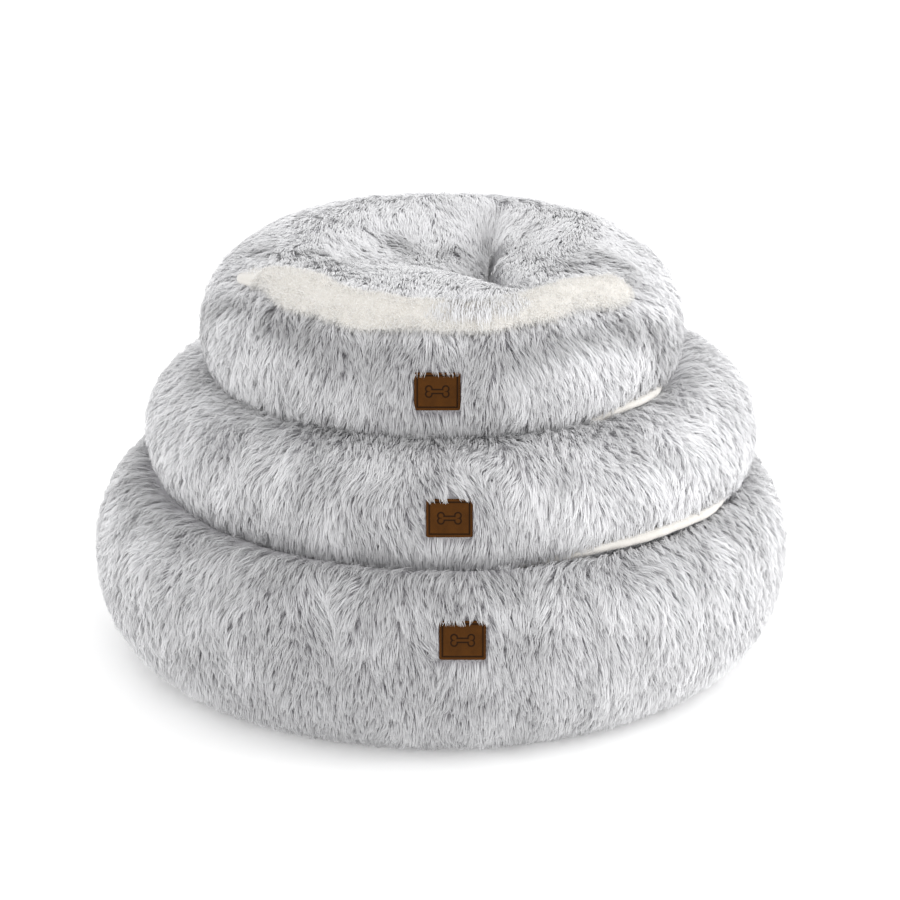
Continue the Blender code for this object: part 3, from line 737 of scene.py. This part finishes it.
fur = pile("White-tipped acrylic pile", (PILE_ROOT, PILE_LOW, PILE_BODY, PILE_TIP))
for bed in BEDS:
    rng = np.random.default_rng(len(bed.name) * 101)
    sway, curl, bare = waves(rng, 12, 0.05, 0.16), waves(rng, 12, 0.03, 0.07), waves(rng, 14, 0.035, 0.11)
    first = bed.crease - (UNDER_NEXT if bed.above else INTO_WELL)
    down, around = scatter(rng, first, bed.end - UNDERSIDE_BARE, TUFT_SPACING, bed.radius_at)
    coat = Pile(rng, down, around, TUFT_STRANDS, TUFT_SPACING * TUFT_SPREAD)
    roots = bed.at(coat.down, coat.around)
    per_metre = 1 / bed.radius_at(coat.down)
    top = np.clip((bed.level_at(coat.down) - bed.base) / (bed.height / 2) - 1, -1, 1)
    loose = 0.16 + 0.26 * np.maximum(top, 0)
    heading = loose * sway(roots) + 0.12 * curl(roots) + coat.one(-0.18, 0.18) + coat.each(-0.10, 0.10)
    length = PILE_LENGTH * coat.one(0.72, 1.12) * (1 + 0.12 * bare(roots))
    stand = PILE_STAND * coat.one(0.55, 1.35)

    low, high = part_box(f"{bed.name}_label")
    label_x, label_z = (low.x + high.x) / 2, (low.z + high.z) / 2
    half_width, half_height = LABEL_SIZE[0] / 2, LABEL_SIZE[1] / 2
    start = bed.at(coat.down + coat.off[0], coat.around + coat.off[1] * per_metre)
    from_x, from_z = start[:, 0] - label_x, start[:, 2] - label_z
    front = start[:, 1] < bed.centre[1]
    beside = np.abs(from_x) < half_width + 0.001
    ruffled = 0.0 if bed is SMALL else front * np.exp(
        -((from_x + RUFFLE[0]) / RUFFLE[1]) ** 2 - (from_z / RUFFLE[2]) ** 2)
    heading = heading + ruffled * (0.5 + coat.one(-0.6, 0.6))
    tucked = (np.abs(from_x + half_width + GAP_BESIDE / 2) < GAP_BESIDE / 2) \
        & (np.abs(from_z + 0.003) < half_height - 0.006) & front & (bed is not SMALL)
    length, stand = np.where(tucked, GAP_PILE[0], length), np.where(tucked, GAP_PILE[1], stand)
    over = front & beside & (from_z > half_height - 0.001)
    length = np.where(over, np.clip(from_z - half_height + LABEL_OVERHANG, 0.010, length), length)
    on_label = front & beside & (np.abs(from_z) < half_height)

    from_zip = start[:, 2] - (bed.base + bed.height / 2)
    turn, clearing = coat.around % math.tau, ZIP_END / bed.radius
    at_zip = (start[:, 1] > bed.centre[1]) & (turn > ZIP_ARC[0] - clearing) & (turn < ZIP_ARC[1] + clearing)
    length = np.where(at_zip & (from_zip > 0), np.clip(from_zip - ZIP_CLEAR / 2, 0.006, length), length)
    stand = np.where(at_zip & (np.abs(from_zip) < ZIP_LOW[0]), np.minimum(stand, ZIP_LOW[1]), stand)
    on_zip = at_zip & (np.abs(from_zip) < ZIP_CLEAR)

    # Painted shade: the pile is darker near the crease under the next bed, and on the top bed under the
    # hood's hem.
    hem_shade, crease_shade = 0.0, np.clip(1 - (coat.down - bed.crease) / 0.03, 0, 1)
    if bed is SMALL:
        under = bed.radius_at(coat.down) - HOODS[-1].edge(coat.around)
        hem_shade, crease_shade = np.clip(1 - np.abs(under - HEM_SHADE_PLACE) / HEM_SHADE_WIDTH, 0, 1) * front, 0.0
    # Painted shade: the front of each bed is darker and shows more grey, less so on its upper half.
    brushed = np.maximum(-np.sin(coat.around + FRONT_SHADE_FROM), 0) ** 3
    coat.shade = COAT_TONE_AND_SHADE[bed.name] - FRONT_SHADE_DARK * brushed * (1 - 0.5 * np.maximum(top, 0)) \
        + BARE_GREY * bare(roots) + coat.one(-0.13, 0.13) + coat.each(-0.09, 0.09) \
        - CREASE_SHADE_DARK * crease_shade - HEM_SHADE_DARK * hem_shade - RUFFLED_GREY * ruffled - tucked
    coat.lay(bed.at, per_metre, heading, length, stand, TIGHT)
    out, rise = [np.interp(coat.down, bed.down, column) for column in bed.table.T[4:]]
    coat.facing = np.stack([out * np.cos(coat.around), out * np.sin(coat.around), rise])
    coat.paths = hang(coat.paths, bed.centre, 0.75, FLOOR_GAP)
    coat.width = STRAND_WIDTH * coat.each(0.6, 1.15)
    tips = coat.paths[:, 1:]
    crossing = (tips[..., 1] < bed.centre[1]) & (np.abs(tips[..., 0] - label_x) < half_width) \
        & (tips[..., 2] < label_z + half_height - LABEL_COVERED) & (tips[..., 2] > label_z - half_height)
    coat.keep(~on_label & ~on_zip & ~crossing.any(axis=1))
    for tufts in coat.pieces(f"{bed.name}_fur", np.argsort(coat.around % math.tau, kind="stable")):
        on_bed(tufts, bed, "fur")


# -------------------- fur of the hoods
# The same pile. On the top hood it is dense, white and combed to the front, has
# painted shade in its fold and hollows, and shows its grey roots in a few partings. The others are pressed
# flat.
NAP_EDGE = (0.55, 0.95)  # shares of the hood between which the nap turns outwards
PARTINGS_AND_HOLLOWS = (  # partings that show grey roots, and hollows and wrinkles given painted shade: x, y, size and strength
    (-0.048, 0.062, 0.022, 0.85), (-0.064, 0.085, 0.018, 0.5), (0.020, 0.065, 0.030, 0.55),
    (0.030, 0.010, 0.026, 0.6), (-0.005, 0.020, 0.022, 0.4), (-0.110, -0.010, 0.014, 0.7),
    (-0.085, -0.035, 0.014, 0.6), (-0.050, -0.040, 0.013, 0.4), (-0.150, -0.030, 0.016, 1.0),
    (-0.128, -0.070, 0.017, 1.0), (-0.190, -0.015, 0.014, 0.8), (0.135, -0.085, 0.016, 0.7),
    (0.160, -0.060, 0.015, 0.7), (0.190, -0.065, 0.015, 0.9), (0.215, -0.100, 0.015, 0.9))
TOP_STRANDS = 15  # in a tuft of the top hood
FLAT_STRANDS = 5  # and of a pressed one, whose tufts stand further apart
FLAT_SPACING = 1.6
FLAT_STAND = 0.0007
HEM_TUFTS = (-80, 20, 0.026, 0.012)  # that fall over the hem: direction, spread, length and stand
FOLD_SHADE_DARK = (0.5, 0.7)  # painted shade of the fold's slopes and of its bottom


for hood in HOODS:
    name = hood.bed.name
    top = hood.bed is SMALL
    rng = np.random.default_rng(len(name) * 211)
    sway, curl, bare = waves(rng, 12, 0.07, 0.16), waves(rng, 10, 0.04, 0.08), waves(rng, 14, 0.03, 0.09)
    spacing = TUFT_SPACING if top else TUFT_SPACING * FLAT_SPACING
    steps = np.arange(-hood.edges.max(), hood.edges.max(), spacing)
    x, y = [grid.ravel() for grid in np.meshgrid(steps, steps)]
    x, y = x + rng.uniform(-0.5, 0.5, len(x)) * spacing, y + rng.uniform(-0.5, 0.5, len(y)) * spacing
    inside = np.hypot(x, y) < hood.edge(np.arctan2(y, x)) - 0.005
    coat = Pile(rng, x[inside], y[inside], TOP_STRANDS if top else FLAT_STRANDS, spacing * 0.5)
    x, y = coat.down, coat.around
    roots = hood.at(x, y, 0.0)
    outwards = np.arctan2(y, x)
    share = np.hypot(x, y) / hood.edge(outwards)
    turned = np.clip((share - NAP_EDGE[0]) / (NAP_EDGE[1] - NAP_EDGE[0]), 0, 1)
    parted_and_shaded = sum(strength * np.exp(-((x - at_x) ** 2 + (y - at_y) ** 2) / size ** 2)
                 for at_x, at_y, size, strength in PARTINGS_AND_HOLLOWS) if top else 0.2
    open_pile = np.clip(parted_and_shaded, 0, 1)
    flow = np.arctan2(turned * np.sin(outwards) - (1 - turned), turned * np.cos(outwards))
    wild = 0.35 + 0.6 * open_pile
    heading = flow + wild * sway(roots) + 0.25 * curl(roots) + coat.one(-0.22, 0.22) + coat.each(-0.12, 0.12)
    edge_left = hood.edge(outwards) - np.hypot(x, y)
    in_front = (roots[:, 1] < hood.centre[1]) & (edge_left < 0.03)
    direction, spread, hem_length, hem_stand = HEM_TUFTS
    over_hem = np.exp(-((np.degrees(outwards) - direction) / spread) ** 2) * in_front if top else 0.0
    length = PILE_LENGTH * coat.one(0.75, 1.15)
    length = np.where(in_front, np.clip(edge_left - 0.012 + hem_length * over_hem, 0.008, length), length)
    stand = np.full(coat.count, FLAT_STAND)
    if top:
        stand = PILE_STAND * coat.one(0.45, 0.85) * (1 + 0.8 * open_pile) + hem_stand * over_hem
    fold = hood.fold(x, y)
    # Painted shade in the fold and in the hollows listed with the partings, which show grey roots.
    coat.shade = 0.96 + 0.05 * bare(roots) + coat.one(-0.05, 0.05) + coat.each(-0.05, 0.05) \
        - 0.9 * parted_and_shaded - FOLD_SHADE_DARK[0] * fold ** 2 - FOLD_SHADE_DARK[1] * fold ** 8
    coat.lay(hood.at, np.ones(coat.count), heading, length, stand, 0.12 + 0.5 * open_pile)
    coat.width = STRAND_WIDTH * coat.each(0.75, 1.3)
    coat.facing = np.tile([[0.0], [0.0], [1.0]], coat.count)
    for tufts in coat.pieces(f"{name}_hood_fur", np.arange(coat.count)):
        fasten(tufts, hood, "fur")


# -------------------- hems
# The open edge of a hood is a roll of its plush lining, turned over to the
# outside and lightly stuffed. It is broad where it is pulled and slim elsewhere.
ROLLS = {  # direction in degrees; half width, half thickness and shift outwards in metres
    "large": ((-180, 0.004, 0.003, 0), (-98, 0.006, 0.004, 0), (-80, 0.008, 0.006, 0.007),
              (-52, 0.010, 0.006, 0.012), (-34, 0.009, 0.006, 0.011), (-22, 0.006, 0.004, 0.002),
              (-9, 0.005, 0.004, 0)),
    "medium": ((-180, 0.004, 0.003, 0), (-72, 0.006, 0.004, 0), (-56, 0.008, 0.005, 0.008),
               (-42, 0.009, 0.005, 0.012), (-28, 0.008, 0.005, 0.010), (-18, 0.006, 0.004, 0.002),
               (-6, 0.005, 0.004, 0)),
    "small": ((-167, 0.012, 0.006, 0), (-156, 0.019, 0.008, 0), (-134, 0.025, 0.010, 0),
              (-112, 0.024, 0.010, 0), (-94, 0.021, 0.009, 0), (-74, 0.020, 0.009, 0),
              (-58, 0.022, 0.009, 0), (-40, 0.023, 0.010, 0), (-28, 0.015, 0.007, 0))}
ROLL_SIDES = 28
ROLL_STEPS = 260  # along a roll
ROLL_ENDS = 9  # steps over which its ends close
POCKET = (-161, 7, 0.9)  # direction, spread and depth of the tuck at the left end of the top hem
NAP_ROOT = "#e9e6e1"
NAP_LOW = "#f3f1ed"
NAP_BODY = "#faf8f5"
NAP_TIP = "#fcfbf9"
NAP_LENGTH = 0.0055  # of the plush on the top hem
NAP_STRANDS = 30000
POCKET_END = 0.085  # share of the top hem, from its left end, where the tuck shows its bare cloth


def roll(name, hood, widths):
    """Points of a flattened roll along a hood's open edge, with soft lumps and small folds across it."""
    rng = np.random.default_rng(len(name))
    lump, crinkle = waves(rng, 8, 0.05, 0.11), waves(rng, 8, 0.012, 0.03)
    turns, *columns = np.array(widths, float).T
    around = np.radians(np.linspace(turns[0], turns[-1], ROLL_STEPS))
    half_width, half_thick, shift = [np.interp(np.degrees(around), turns, column) for column in columns]
    along = np.arange(ROLL_STEPS)
    ends = np.clip(np.minimum(along, along[::-1]) / ROLL_ENDS, 0.03, 1) ** 0.5
    half_width, half_thick = half_width * ends, half_thick * ends
    edge = hood.edge(around)
    x, y = edge * np.cos(around), edge * np.sin(around)
    outwards = np.stack([np.cos(around), np.sin(around), np.full(ROLL_STEPS, 0.7)], axis=1)
    middle = hood.at(x, y, 0.0) + shift[:, None] * outwards
    middle[:, 2] += half_thick * (0.5 if hood.bed is SMALL else -0.1)
    run = np.gradient(middle, axis=0)
    run /= np.linalg.norm(run, axis=1)[:, None]
    step = 0.006
    out = hood.at(x * (1 + step / edge), y * (1 + step / edge), 0.0) - hood.at(x, y, 0.0)
    out -= (out * run).sum(axis=1)[:, None] * run
    out /= np.linalg.norm(out, axis=1)[:, None]
    up = np.cross(run, out)
    up *= np.sign(up[:, 2:])
    turn = np.linspace(0, math.tau, ROLL_SIDES, endpoint=False)
    wide, tall = signed_power(np.cos(turn), 0.8), signed_power(np.sin(turn), 0.9)
    points = middle[:, None] + out[:, None] * (half_width[:, None] * wide)[..., None] \
        + up[:, None] * (half_thick[:, None] * tall)[..., None]
    puff = 1 + 0.10 * lump(points) + 0.03 * crinkle(points)
    if hood.bed is SMALL:
        place, spread, depth = POCKET
        tuck = depth * np.exp(-((np.degrees(around) - place) / spread) ** 2)
        puff *= 1 - tuck[:, None] * np.clip(np.sin(turn) * 1.6 - 0.6 * np.cos(turn), 0, 1) ** 2
    return middle[:, None] + (points - middle[:, None]) * puff[..., None]


def nap(name, points, rng):
    """Short soft plush over a roll: strands that stand out of its top and front, and droop."""
    row = rng.uniform(POCKET_END, 1.0, NAP_STRANDS) * (len(points) - 2)
    turn = rng.random(NAP_STRANDS) * ROLL_SIDES
    low, side = row.astype(int), turn.astype(int)
    beside = (side + 1) % ROLL_SIDES
    along, across = (row - low)[:, None], (turn - side)[:, None]
    root = (points[low, side] * (1 - along) + points[low + 1, side] * along) * (1 - across) \
        + (points[low, beside] * (1 - along) + points[low + 1, beside] * along) * across
    normal = np.cross(points[low, beside] - points[low, side], points[low + 1, side] - points[low, side])
    normal /= np.maximum(np.linalg.norm(normal, axis=1), 1e-9)[:, None]
    middle = points[low].mean(axis=1)
    normal *= np.sign(((root - middle) * normal).sum(axis=1))[:, None]
    lean = rng.normal(size=(NAP_STRANDS, 3)) * 0.35 + np.array([0.0, -0.25, -0.35])
    length = NAP_LENGTH * rng.uniform(0.6, 1.2, NAP_STRANDS)[:, None]
    bends = [root + length * (normal * 0.75 * step ** 0.8 + lean * step ** 1.6) for step in STEPS]
    paths = np.stack(bends, axis=1)
    width = STRAND_WIDTH * 0.6 * rng.uniform(0.7, 1.2, NAP_STRANDS)
    return grow(name, paths, width, rng.uniform(0.75, 0.95, NAP_STRANDS), normal, rng, fleece)


fleece = pile("Cream plush nap", (NAP_ROOT, NAP_LOW, NAP_BODY, NAP_TIP))
for hood in HOODS:
    name = hood.bed.name
    points = roll(f"{name}_hood_hem_roll", hood, ROLLS[name])
    mesh = quads(points, wrap_columns=True, caps=(0, len(points) - 1))
    hem = add_piece(f"{name}_hood_hem_roll", mesh, cream)
    fasten(hem, hood, "plush")
    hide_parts(f"{name}_hood_hem")
    if hood.bed is SMALL:
        fasten(nap(f"{name}_hood_hem_nap", points, np.random.default_rng(77)), hood, "plush")


# -------------------- labels
# A patch of brown vegetable-tanned leather is glued and tacked to the front of
# each bed. Its edges are cut, and a bone and a border are pressed into it.
LEATHER_BROWN = "#56320b"
LEATHER_DARK = "#1a0c02"
LEATHER_GRAIN = 0.0011  # real pores are 0.5 mm apart, drawn coarser so that they show
LEATHER_THICK = 0.0018
BONE = (0.0125, 0.0022, 0.0034)  # half length, half thickness of its bar and radius of its ends
BORDER = 0.0034  # of the pressed border inside the cut edge
PRESS_WIDTH = 0.0010
PRESS_DEPTH = 0.0006
LABEL_CORNER = 0.0022
LABEL_CURL = (0.0016, 0.0010)
AGE_CLOUDS = 70.0  # to a metre: clouds in the dye are about 14 mm wide


def leather():
    """Oiled vegetable-tanned leather: warm brown, with fine pores, a dull shine and dark pressed lines."""
    material, tree = empty_material("Vegetable-tanned leather")
    place = add_node(tree, "TexCoord").outputs["Object"]
    pores = add_node(tree, "TexVoronoi", {"Vector": place, "Scale": 1 / LEATHER_GRAIN})
    cloud = add_node(tree, "TexNoise", {"Vector": place, "Scale": AGE_CLOUDS, "Detail": 5.0})
    pressed = add_node(tree, "Attribute", attribute_name="pressed")
    aged = add_node(tree, "MapRange", {"Value": cloud, "From Min": 0.3, "From Max": 0.7,
                                       "To Min": 0.0, "To Max": 0.35})
    dark = add_node(tree, "Math", {0: aged, 1: pressed.outputs["Fac"]}, operation="MAXIMUM")
    colour = add_node(tree, "Mix", {0: dark, 6: LEATHER_BROWN, 7: LEATHER_DARK}, data_type="RGBA")
    bump = add_node(tree, "Bump", {"Height": pores, "Strength": 0.5, "Distance": 0.0004})
    surface = add_node(tree, "BsdfPrincipled", {
        "Base Color": colour.outputs[2], "Roughness": 0.65, "Specular IOR Level": 0.1, "Normal": bump})
    add_node(tree, "OutputMaterial", {"Surface": surface})
    return material


def pressed_lines(x, z):
    """How far a place of the label is pressed in, 0 to 1: a border, and the outline of a bone."""
    half_length, bar, knob = BONE
    from_bar = np.maximum(np.abs(x) - half_length + knob, np.abs(z) - bar)
    from_knobs = np.hypot(np.abs(x) - half_length + knob, np.abs(z) - knob * 0.85) - knob
    outline = np.abs(np.minimum(from_bar, from_knobs))
    border = np.abs(np.maximum(np.abs(x) - LABEL_SIZE[0] / 2, np.abs(z) - LABEL_SIZE[1] / 2) + BORDER)
    return np.exp(-(np.minimum(outline, border) / PRESS_WIDTH) ** 2)


tanned = leather()
for bed in BEDS:
    low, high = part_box(f"{bed.name}_label")
    middle = (low + high) / 2
    near = np.argmin(np.abs(bed.table[:, 1] - middle.z) + (bed.down < bed.crease))
    lean = math.atan2(bed.table[near, 5], bed.table[near, 4])
    wide, high = LABEL_SIZE
    x, z = np.meshgrid(np.linspace(-0.5, 0.5, 101) * wide, np.linspace(-0.5, 0.5, 85) * high)
    corner_x = np.maximum(np.abs(x) - wide / 2 + LABEL_CORNER, 0)
    corner_z = np.maximum(np.abs(z) - high / 2 + LABEL_CORNER, 0)
    reach = np.hypot(corner_x, corner_z)
    beyond = np.maximum(reach - LABEL_CORNER, 0) / np.maximum(reach, 1e-9)
    cut_x, cut_z = x - np.sign(x) * corner_x * beyond, z - np.sign(z) * corner_z * beyond
    depth = pressed_lines(cut_x, cut_z)
    curl = LABEL_CURL[0] * (x / wide) ** 2 + LABEL_CURL[1] * (z / high) ** 2
    points = np.stack([cut_x, -LEATHER_THICK / 2 + PRESS_DEPTH * depth + curl, cut_z], axis=-1)
    mesh = quads(points)
    pressed = mesh.attributes.new("pressed", "FLOAT", "POINT")
    pressed.data.foreach_set("value", depth.ravel().astype(np.float32))
    patch = add_piece(f"{bed.name}_label_patch", mesh, tanned)
    patch.location, patch.rotation_euler = middle, (-lean, 0.0, 0.0)
    solid = patch.modifiers.new("Thickness", "SOLIDIFY")
    solid.thickness, solid.offset = LEATHER_THICK, -1.0
    on_bed(patch, bed, "leather", "label")


# -------------------- zips
# A coil-backed metal zip runs round the back of each bed: two woven tapes, two
# rows of cast zinc teeth that mesh, a slider and its pull, and a stop at each end.
ZINC = "#b9b7b2"
TAPE_GREY = "#a5a3a7"
TAPE_THREAD = 0.0008  # real thread is 0.3 mm, drawn coarser so that it shows
TOOTH_PITCH = 0.0028
TOOTH = (0.0017, 0.0019, 0.0042)  # length along the zip, depth and height
TAPER = 0.72  # of a tooth's tip to its root
MESHED = 0.0009  # by which each row of teeth reaches into the other
TUMBLE = 420.0  # to a metre: the clouds that tumbling leaves are 2.4 mm wide


def tape():
    """Polyester zip tape: a fine herringbone weave, matt and grey like the undercoat."""
    material, tree = empty_material("Woven zip tape")
    place = add_node(tree, "TexCoord").outputs["Object"]
    twill = add_node(tree, "TexWave", {"Vector": place, "Scale": BAND / TAPE_THREAD, "Distortion": 1.2},
                     bands_direction="DIAGONAL").outputs["Fac"]
    colour = add_node(tree, "Mix", {0: twill, 6: UNDERCOAT_GREY, 7: TAPE_GREY}, data_type="RGBA")
    bump = add_node(tree, "Bump", {"Height": twill, "Strength": 0.6, "Distance": 0.0003})
    surface = add_node(tree, "BsdfPrincipled", {
        "Base Color": colour.outputs[2], "Roughness": 0.85, "Normal": bump})
    add_node(tree, "OutputMaterial", {"Surface": surface})
    return material


def cast_zinc():
    """Nickel-plated cast zinc: pale metal, tumbled smooth, with a slightly cloudy shine."""
    material, tree = empty_material("Nickel-plated cast zinc")
    place = add_node(tree, "TexCoord").outputs["Object"]
    cloud = add_node(tree, "TexNoise", {"Vector": place, "Scale": TUMBLE, "Detail": 3.0})
    rough = add_node(tree, "MapRange", {"Value": cloud, "To Min": 0.22, "To Max": 0.42})
    bump = add_node(tree, "Bump", {"Height": cloud, "Strength": 0.15, "Distance": 0.0002})
    surface = add_node(tree, "BsdfPrincipled", {
        "Base Color": ZINC, "Metallic": 1.0, "Roughness": rough, "Normal": bump})
    add_node(tree, "OutputMaterial", {"Surface": surface})
    return material


woven, zinc = tape(), cast_zinc()
corner_signs = np.array([(-1, -1, -1), (1, -1, -1), (1, 1, -1), (-1, 1, -1),
                         (-1, -1, 1), (1, -1, 1), (1, 1, 1), (-1, 1, 1)])
box_faces = ((0, 3, 2, 1), (4, 5, 6, 7), (0, 1, 5, 4), (1, 2, 6, 5), (2, 3, 7, 6), (3, 0, 4, 7))
for bed in BEDS:
    for side, sign in (("upper", 1), ("lower", -1)):
        low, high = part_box(f"{bed.name}_zip_{side}_teeth")
        reach = high.y - bed.centre[1] - TOOTH[1] / 2
        pitch = TOOTH_PITCH / reach
        around = np.arange(ZIP_ARC[0], ZIP_ARC[1], pitch) + (pitch / 2 if sign > 0 else 0.0)
        tip = corner_signs[:, 2] * sign < 0
        narrowed = np.where(tip, TAPER, 1.0)[:, None] ** np.array([1, 0.5, 0])
        local = corner_signs * np.array(TOOTH) / 2 * narrowed
        level = (low.z + high.z) / 2 - sign * MESHED
        radius = reach + local[None, :, 1]
        turn = around[:, None] + local[None, :, 0] / reach
        points = np.stack([bed.centre[0] + radius * np.cos(turn), bed.centre[1] + radius * np.sin(turn),
                           np.broadcast_to(level + local[:, 2], turn.shape)], axis=-1)
        faces = [[8 * i + corner for corner in face] for i in range(len(around)) for face in box_faces]
        mesh = bpy.data.meshes.new(f"{bed.name}_zip_{side}_row")
        mesh.from_pydata(points.reshape(-1, 3).tolist(), [], faces)
        row = add_piece(f"{bed.name}_zip_{side}_row", mesh, zinc)
        on_bed(row, bed, "zip_metal", f"zip_{side}_teeth")
        refinish(f"{bed.name}_zip_{side}_tape", woven)
    for piece in ("left_stop", "right_stop", "slider", "pull"):
        refinish(f"{bed.name}_zip_{piece}", zinc)
